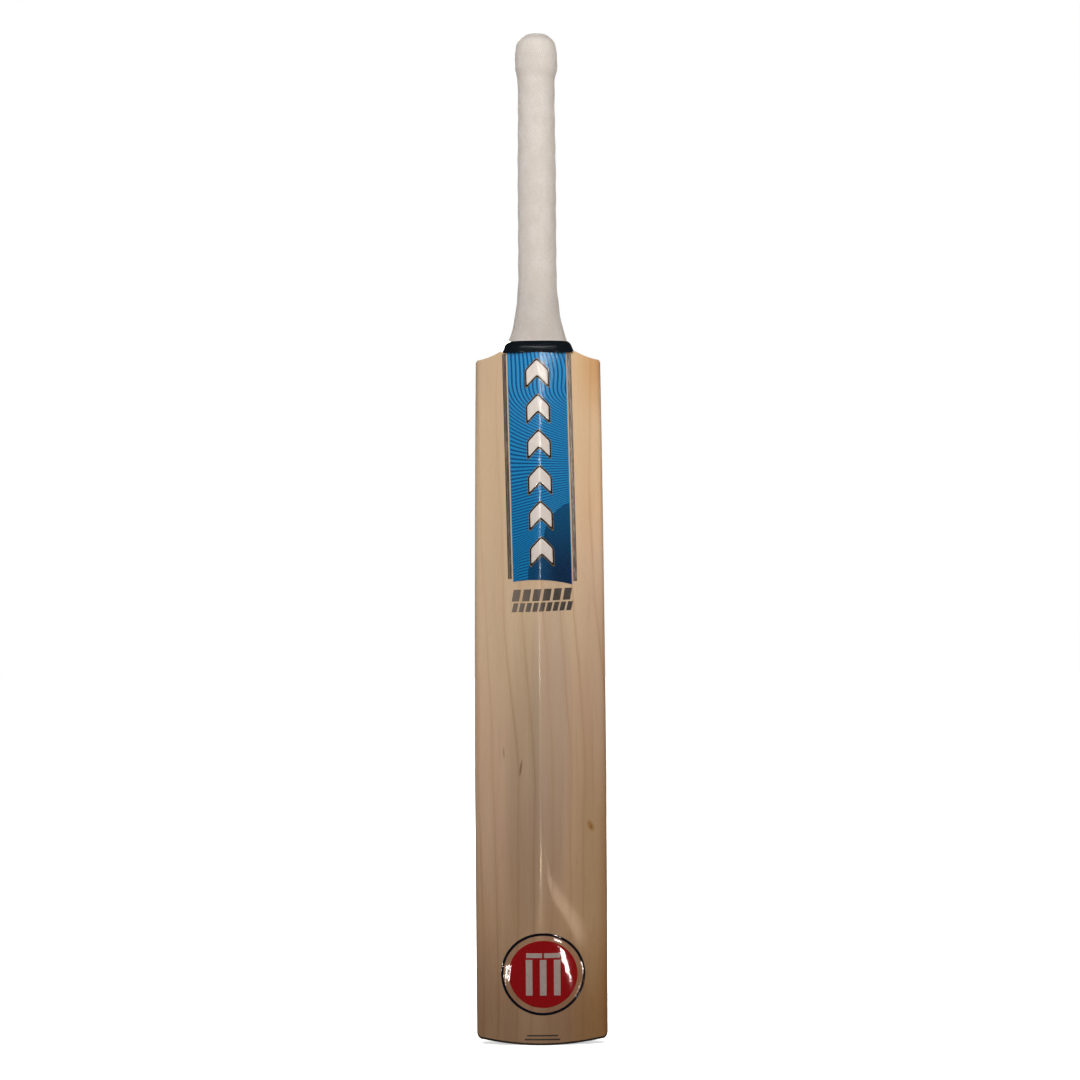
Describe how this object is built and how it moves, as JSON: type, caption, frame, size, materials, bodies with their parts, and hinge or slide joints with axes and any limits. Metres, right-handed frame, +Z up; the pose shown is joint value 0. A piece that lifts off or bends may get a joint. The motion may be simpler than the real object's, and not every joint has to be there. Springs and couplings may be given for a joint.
{
  "type": "cricket bat",
  "caption": "Cricket bat: flat-faced willow blade with a spined back, laminated cane handle spliced in, rubber grip and toe guard.",
  "frame": {"origin": "on the handle's axis at the middle of the hands' grip", "axes": "+Z up along the handle towards its end, +Y straight out of the flat hitting face, +X across the blade, to the right seen from the spined back"},
  "size_m": [0.108, 0.0578, 0.8318],
  "materials": {
    "willow": "satin, lightly oiled",
    "cane": "satin",
    "spring_rubber": "matte",
    "twine": "matte, glued",
    "grip_rubber": "satin, finely ribbed",
    "guard_rubber": "satin",
    "band_tape": "gloss",
    "label_vinyl": "gloss",
    "silver_vinyl": "metallic gloss",
    "emblem_vinyl": "raised gloss",
    "print_ink": "flat print",
    "badge_navy": "print under resin",
    "badge_red": "print under resin",
    "badge_silver": "print under resin",
    "badge_resin": "clear cast resin"
  },
  "bodies": {
    "root": {"badge_disc": "badge_red", "badge_dome": "badge_resin", "badge_ring": "badge_navy", "badge_wicket": "badge_silver", "blade": "willow", "cane_back_centre": "cane", "cane_back_left": "cane", "cane_back_right": "cane", "cane_face_centre": "cane", "cane_face_left": "cane", "cane_face_right": "cane", "cane_inner_back_centre": "cane", "cane_inner_back_left": "cane", "cane_inner_back_right": "cane", "cane_inner_face_centre": "cane", "cane_inner_face_left": "cane", "cane_inner_face_right": "cane", "caption_marks": "print_ink", "grip": "grip_rubber", "label_emblems": "emblem_vinyl", "label_panel": "label_vinyl", "label_stripe_left": "silver_vinyl", "label_stripe_right": "silver_vinyl", "neck_band": "band_tape", "rubber_spring_back": "spring_rubber", "rubber_spring_face": "spring_rubber", "rubber_spring_middle": "spring_rubber", "toe_guard": "guard_rubber", "toe_marks": "print_ink", "twine_binding": "twine"}
  },
  "joints": []
}
